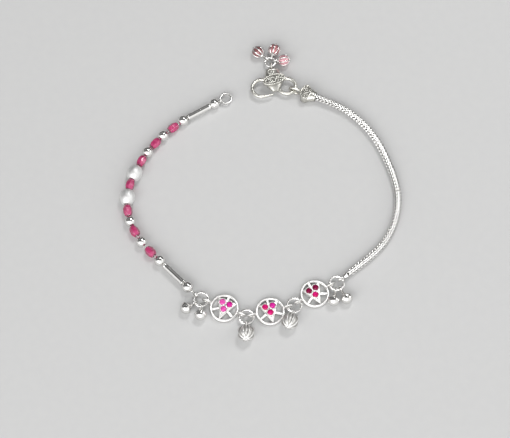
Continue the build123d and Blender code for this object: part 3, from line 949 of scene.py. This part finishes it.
def medallion_row():
    for number, tilt_axis in enumerate(JUMP_TILT_AXES, 1):
        node = f"jump_ring_{number}"
        tilted = turned(middle(node), tilt_axis) @ spun(JUMP_TILT, "X")
        place = tilted @ spun(JUMP_SEAM_TURN, "Z")
        piece(node, jump_ring(), place, WIRE_SILVER)
    for number, bearing in enumerate(MEDALLION_BEARINGS, 1):
        node = f"medallion_{number}"
        centre = middle(node)
        place = turned((centre.x, centre.y, 0), bearing)
        piece(node, medallion(), place, CAST_SILVER)
        for letter, (x, y) in STONE_SEATS.items():
            key = f"{number}{letter}"
            node = f"stone_{key}"
            odd_turn = spun(17.0 * number + ord(letter), "Z")
            seat = place @ moved(x, y) @ odd_turn
            piece(node, stone(), seat, STONES[key], facets=True)
    for number, (ring, bearing, reach) in enumerate(BELLS, 1):
        node = f"bell_{number}"
        place = on_ring(ring, bearing, reach, BELL_SEAM_R)
        piece(node, bell(reach), place, SILVER)
    for number, (ring, bearing) in enumerate(MELONS, 1):
        node = f"melon_drop_{number}"
        place = on_ring(ring, bearing, MELON_X, MELON_R)
        piece(node, melon_drop(), place, CAST_SILVER)


# ---- chain ----
def foxtail(line, steps=28, sides=8):
    """Links woven along a line: each leans its two lobes forward, a quarter turn from the last."""
    lengths = np.concatenate([[0], np.cumsum(np.linalg.norm(np.diff(line, axis=0), axis=1))])
    turn = np.linspace(0, 2 * math.pi, steps, endpoint=False)
    width = LOBE_SPREAD * np.sign(np.sin(turn)) * np.abs(np.sin(turn)) ** 0.75
    shape = Shape()
    for k in range(int((lengths[-1] - FOXTAIL_REST) / FOXTAIL_PITCH)):
        at = FOXTAIL_START + LOBE_LEAN / 2 + k * FOXTAIL_PITCH
        spots = np.array((at, at + FOXTAIL_STEP, at - FOXTAIL_STEP))
        centre, ahead, behind = np.transpose([np.interp(spots, lengths, axis) for axis in line.T])
        run = (ahead - behind) / np.linalg.norm(ahead - behind)
        level = np.array((0, 0, 1.0)) - run[2] * run
        level /= np.linalg.norm(level)
        flank = np.cross(level, run)
        roll = math.radians(np.interp(at / lengths[-1], *CHAIN_ROLL))
        up = math.cos(roll) * level - math.sin(roll) * flank
        side = math.cos(roll) * flank + math.sin(roll) * level
        one, two = (side, up) if k % 2 else (up, side)
        wire_r, core_r = FOXTAIL_LOOPS[k % 2]
        out = np.outer(LOBE_REACH * np.cos(turn), one) + np.outer(width, two)
        loop = centre + out + np.outer(LOBE_LEAN * (np.cos(turn) ** 2 - 0.5), run)
        points, faces = wire(loop, wire_r, out, closed=True, sides=sides)
        off = points - centre
        for axis in (up, side):
            reach = off @ axis
            over = np.maximum(np.abs(reach) - LOBE_FLAT, 0)
            points = points - np.outer(np.sign(reach) * over * 0.6, axis)
        radial = np.hypot(off @ up, off @ side)
        # Darker toward the chain's core: oxide and painted shade between the links.
        shape.add((points, faces), depth=np.clip((core_r - radial) / 0.5, 0, 0.95))
    return shape


def chain_end():
    # x, radius: the mouth's bead, the cone and its tip
    cone = [(0.15, 0), (0.15, 1.15), (0.28, 1.3), (0.5, 1.3), (0.62, 1.16), (0.8, 1.08)]
    cone += [(1.25, 0.78), (1.4, 0.76), (1.52, 0.7), (1.62, 0.5), (1.65, 0)]
    shape = Shape().add(lathe(cone, sides=48))
    place = moved(x=CONE_EYE_X, z=CONE_EYE_LIFT)
    return shape.add(eye(CONE_EYE_LENGTH), place)


# ---- clasp ----
def flower(radius, petals=6):
    """Petals around a bead, flat on the local XY plane."""
    shape = Shape()
    petal = scaled(0.36 * radius, 0.2 * radius, 0.14 * radius)
    for k in range(petals):
        place = spun(360 * k / petals, "Z") @ moved(x=0.6 * radius) @ petal
        shape.add(ball(1.0), place)
    return shape.add(ball(0.24 * radius), moved(z=0.08 * radius))


def leaf_plate(length, width, top, low):
    """An oval plate: raised border, and a flower, a beaded ring and vines on its sunk ground."""
    shape = Shape()
    ground = top - PLATE_SINK
    turns = np.linspace(0, 2 * math.pi, 96, endpoint=False)
    oval = np.array([(length / 2 * math.cos(a), width / 2 * math.sin(a)) for a in turns])
    # The sunk ground is darker: oxide and painted shade.
    shape.add(slab(inset(oval, 0.2), low, ground, edge=0.1, steps=3), depth=0.75)
    # distance inwards, height: over the border
    edges = [(0.0, low + 0.1), (0.0, top - 0.16), (0.06, top - 0.05), (0.2, top)]
    edges += [(0.34, top - 0.05), (0.4, top - 0.16), (0.42, ground - 0.05)]
    shape.add(skin(stepped(oval, edges)))
    unit = min(width / 2 - 0.5, length / 6)
    shape.join(flower(1.15 * unit), moved(x=0.2 * length, z=ground + 0.05))
    ring = circle(0.5 * unit, steps=40)
    spot = moved(x=-0.17 * length, y=-0.02 * width, z=ground + 0.08)
    shape.add(wire(ring, 0.17 * unit, (0, 0, 1), closed=True, sides=10), spot)
    shape.add(ball(0.22 * unit, rings=8), spot)
    leaf = scaled(0.38 * unit, 0.15 * unit, 0.12 * unit)
    for side in (-1, 1):
        line = smooth_line([(x * length, side * y * width, ground + 0.06) for x, y in VINE])
        thick = np.linspace(0.11, 0.2, len(line))
        shape.add(wire(line, thick * unit, (0, 0, 1), sides=10, tips=2))
        place = moved(0.37 * length, side * 0.1 * width, ground + 0.05) @ spun(side * 28, "Z")
        shape.add(ball(1.0, rings=8), place @ leaf)
    return shape


def under_plate(points, place, length, width, top):
    """Lower the points that would stand inside a plate's border to just below its ground."""
    ground = top - PLATE_SINK - 0.06
    back = np.array(place.inverted())
    local = points @ back[:3, :3].T + back[:3, 3]
    share = np.hypot(local[:, 0] / (length / 2 - 0.2), local[:, 1] / (width / 2 - 0.2))
    points[:, 2] = np.where(share < 1, np.minimum(points[:, 2], ground), points[:, 2])
    return points


def end_cap(sides=96):
    """A dome from the chain's round end to an oval plate, and a thick eye beyond it."""
    turns = np.linspace(0, 2 * math.pi, sides, endpoint=False)

    def oval(x, half_width, half_height):
        return [(x, half_width * math.cos(a), half_height * math.sin(a)) for a in turns]

    rows = [oval(CAP_BORE_DEPTH, 0, 0), oval(CAP_BORE_DEPTH, CAP_BORE_R, CAP_BORE_R)]
    for start, end in zip(CAP_SECTIONS, CAP_SECTIONS[1:]):
        steps = max(1, int((end[0] - start[0]) / 0.1))
        rows += [oval(*section) for section in np.linspace(start, end, steps, endpoint=False)]
    rows += [oval(*CAP_SECTIONS[-1]), oval(CAP_SECTIONS[-1][0], 0, 0)]
    points, faces = skin(rows)
    across = moved(x=CAP_PLATE_X) @ spun(90, "Z")
    shape = Shape().add((under_plate(points, across, *CAP_PLATE), faces))
    shape.join(leaf_plate(*CAP_PLATE, CAP_PLATE_LOW), across)
    return shape.add(eye(*CAP_EYE), moved(x=CAP_EYE_X))


def hook_line(x, y, radius, first, last, tail_turn=0.0, tail_steps=20):
    """A bent hook's centre line, which can end in a flatter tail that turns on."""
    line = circle(radius, first, last, steps=80)
    if tail_turn:
        end, heading = line[-1], math.radians(last + 90)
        turns = heading + np.radians(np.linspace(0, tail_turn, tail_steps)[1:])
        tail = np.zeros((len(turns), 3))
        tail[:, 0] = end[0] + HOOK_TAIL_R * (np.sin(turns) - math.sin(heading))
        tail[:, 1] = end[1] - HOOK_TAIL_R * (np.cos(turns) - math.cos(heading))
        line = np.vstack([line, tail])
    return line + np.array(from_layout(x, y, CLASP_Z))


def hook_body():
    """Flattened bell, its foot on local -Y, with its plate, boss and neck eye."""
    shape = Shape()
    # x, radius: the foot, the bell's side and the neck
    side = smooth_line([(-4.15, 1.0), (-2.2, 2.4), (0.4, 3.45), (2.7, 2.9), (4.3, 2.45)], 10)
    neck = [(4.4, 2.5), (4.62, 2.52), (4.8, 2.4), (5.05, 2.1), (5.4, 1.6), (5.6, 0.9), (5.6, 0)]
    profile = [(-4.15, 0), (-4.15, 0.8)] + list(side) + neck
    points, faces = lathe(profile, sides=96, stretch=(1.0, HOOK_FLATTENING))
    across = spun(HOOK_PLATE_TURN, "Z")
    points = under_plate(points, spun(-90, "Z") @ across, *HOOK_PLATE)
    # The bell is a little darker all over: oxide and painted shade.
    shape.add((points, faces), spun(90, "Z"), depth=0.12)
    neck_eye = moved(y=NECK_EYE_Y, z=EYE_Z - CLASP_Z) @ spun(90, "Z")
    shape.add(eye(NECK_EYE_LENGTH), neck_eye)
    shape.join(leaf_plate(*HOOK_PLATE, HOOK_PLATE_LOW), across)
    # height, radius: a flat bead with a pin in its middle
    boss = [(0.9, 0), (0.9, 1.2), (1.45, 1.25), (1.68, 1.12), (1.75, 0.95), (1.68, 0.78)]
    boss += [(1.5, 0.68), (1.48, 0.5), (1.6, 0.32), (1.65, 0)]
    points, faces = lathe(boss, sides=48)
    radial = np.hypot(points[:, 1], points[:, 2])
    # The boss's ring groove is darker: oxide and painted shade.
    groove = np.exp(-(((radial - 0.6) / 0.13) ** 2))
    return shape.add((points, faces), moved(*BOSS_XY) @ UPRIGHT, groove)


def s_hook():
    """The body and the two bent hooks; the left one thins toward its open tip."""
    shape = Shape().join(hook_body(), turned(from_layout(*HOOK_PLACE, CLASP_Z), HOOK_BEARING))
    left = hook_line(*HOOK_LEFT, HOOK_TAIL_TURN)
    taper = np.clip(np.linspace(len(left), 0, len(left)) / 24, 0, 1)
    thick = HOOK_WIRE_R * (0.45 + 0.55 * taper**0.7)
    shape.add(wire(left, thick, (0, 0, 1), sides=24, tips=5))
    right = wire(hook_line(*HOOK_RIGHT), HOOK_WIRE_R, (0, 0, 1), sides=24, tips=5)
    return shape.add(right)


def enamel_ribs(reach):
    """Four silver rings around a drop's ball, its tip, cap and loop."""
    shape = Shape()
    line = circle(ENAMEL_RIB_R, steps=72, plane="XZ")
    ring = wire(line, ENAMEL_RIB_WIRE_R, (0, 1, 0), closed=True)
    for k in range(4):
        shape.add(ring, moved(x=reach) @ spun(45 * k, "X"))
    shape.add(ball(0.42), moved(x=reach + ENAMEL_BALL_R))
    # distance past the cap's seat, radius
    cap = [(-0.5, 0), (-0.5, 0.7), (-0.35, 0.86), (0.1, 0.9), (0.25, 0.7), (0.25, 0)]
    shape.add(lathe([(reach - 1.95 + past, r) for past, r in cap], sides=32))
    return shape.add(hanging_loop(ENAMEL_LOOP_R, ENAMEL_LOOP_WIRE_R))


def enamel_drop(number, place, reach, enamel):
    """A ball of pink enamel, deeper in painted shade beside its eight ribs, and the silver around
    it.
    """
    node = f"enamel_drop_{number}"
    points, faces = ball(ENAMEL_BALL_R, rings=32)
    bearing = np.degrees(np.arctan2(points[:, 1], points[:, 2]))
    radial = np.hypot(points[:, 1], points[:, 2])
    off = np.abs((bearing + 22.5) % 45 - 22.5) / 22.5 * radial / ENAMEL_BALL_R
    # Painted shade beside the ribs.
    shape = Shape().add((points, faces), moved(x=reach), np.exp(-((off / 0.55) ** 2)))
    piece(node, shape, place, enamel)
    piece(f"{node}_ribs", enamel_ribs(reach), place, SILVER, nodes=())


def cluster():
    """The ring on the hook's neck and its three enamel drops."""
    node = "cluster_ring"
    centre = middle(node)
    ring = wire(circle(CLUSTER_R), CLUSTER_WIRE_R, (0, 0, 1), closed=True, sides=18)
    place = Matrix.Translation(centre)
    piece(node, Shape().add(ring), place, WIRE_SILVER)
    for number, (bearing, reach) in enumerate(ENAMEL_DROPS, 1):
        out = math.radians(bearing)
        hang = CLUSTER_R + ENAMEL_LOOP_OUT
        loop = centre + Vector((math.cos(out), math.sin(out), 0)) * hang
        place = lying(loop, bearing, reach, ENAMEL_R)
        enamel_drop(number, place, reach, ENAMELS[number - 1])


def chain_and_clasp():
    line = read_route(CHAIN_POINTS)
    piece("foxtail_chain", foxtail(line), Matrix(), CHAIN_SILVER)
    place = turned(line[0], bearing_of(Vector(line[0] - line[1])))
    piece("chain_end", chain_end(), place, SILVER)
    mouth = turned((line[-1][0], line[-1][1], CLASP_Z), bearing_of(line[-1] - line[-2]))
    place = mouth @ moved(x=-CAP_GRIP)
    piece("end_cap", end_cap(), place, OXIDISED_AND_SHADED)
    piece("s_hook", s_hook(), Matrix(), OXIDISED_AND_SHADED)
    cluster()


# ---- stage, light and camera ----
FLOOR_HALF = 3.0
FLOOR_Z = -0.00003
LAMPS = [
    # name, place, width and height, watts
    ("front", (-0.25, -0.75, 0.6), (1.1, 0.6), 5.8),
    ("top", (0.22, 0.42, 0.88), (0.2, 0.3), 3.0),
    ("side", (0.75, 0.1, 0.45), (0.3, 0.6), 1.2),
]
CAMERA_LENS = 110.56
CAMERA_AIM = (-2.15, -11.52, 0.0)
CAMERA_RISE = 65.0
CAMERA_DISTANCE = 548.2
ROOM = [
    # half turns from the front horizon over the top to the back horizon, brightness
    (0.0, 1.0),
    (0.4, 1.0),
    (0.46, 0.12),
    (0.56, 0.12),
    (0.64, 0.25),
    (0.72, 0.25),
    (0.85, 0.15),
    (1.0, 0.04),
]


def stage():
    mesh = bpy.data.meshes.new("floor")
    corners = [(-1, -1), (1, -1), (1, 1), (-1, 1)]
    mesh.from_pydata([(x * FLOOR_HALF, y * FLOOR_HALF, 0) for x, y in corners], [], [(0, 1, 2, 3)])
    mesh.materials.append(floor_finish())
    floor = bpy.data.objects.new("floor", mesh)
    floor.location.z = FLOOR_Z
    SCENE.collection.objects.link(floor)


def aimed(name, data, place, aim):
    """A lamp or camera at a place, pointing at another."""
    obj = bpy.data.objects.new(name, data)
    obj.location = place
    obj.rotation_euler = (Vector(aim) - obj.location).to_track_quat("-Z", "Y").to_euler()
    SCENE.collection.objects.link(obj)
    return obj


def lamp(name, place, size, power):
    """A rectangular lamp that points at the origin."""
    data = bpy.data.lights.new(name, "AREA")
    data.shape = "RECTANGLE"
    data.size, data.size_y = size
    data.energy = power
    aimed(name, data, place, (0, 0, 0))


def world():
    """Soft room, seen as bands from front to back: bright in front, dim overhead and behind."""
    room = bpy.data.worlds.new("room")
    SCENE.world = room
    room.use_nodes = True
    tree = room.node_tree
    place = tree.nodes.new("ShaderNodeTexCoord")
    parts = tree.nodes.new("ShaderNodeSeparateXYZ")
    plug(tree, parts.inputs[0], place.outputs["Generated"])
    front = calculate(tree, "MULTIPLY", parts.outputs["Y"], -1.0)
    rise = calculate(tree, "ARCTAN2", parts.outputs["Z"], front)
    ramp = tree.nodes.new("ShaderNodeValToRGB")
    ramp.color_ramp.interpolation = "EASE"
    while len(ramp.color_ramp.elements) < len(ROOM):
        ramp.color_ramp.elements.new(0.5)
    for element, (position, level) in zip(ramp.color_ramp.elements, ROOM):
        element.position = position
        element.color = (level, level, level, 1.0)
    plug(tree, ramp.inputs["Fac"], calculate(tree, "DIVIDE", rise, math.pi))
    plug(tree, tree.nodes["Background"].inputs["Color"], ramp.outputs["Color"])


def camera():
    data = bpy.data.cameras.new("camera")
    data.lens = CAMERA_LENS
    data.clip_start = 0.01
    aim = Vector(CAMERA_AIM) * MM
    rise = math.radians(CAMERA_RISE)
    away = Vector((0, -math.cos(rise), math.sin(rise))) * (CAMERA_DISTANCE * MM)
    SCENE.camera = aimed("camera", data, aim + away, aim)


bead_string()
medallion_row()
chain_and_clasp()
stage()
world()
for lamp_row in LAMPS:
    lamp(*lamp_row)
camera()
SCENE.view_settings.view_transform = "Standard"
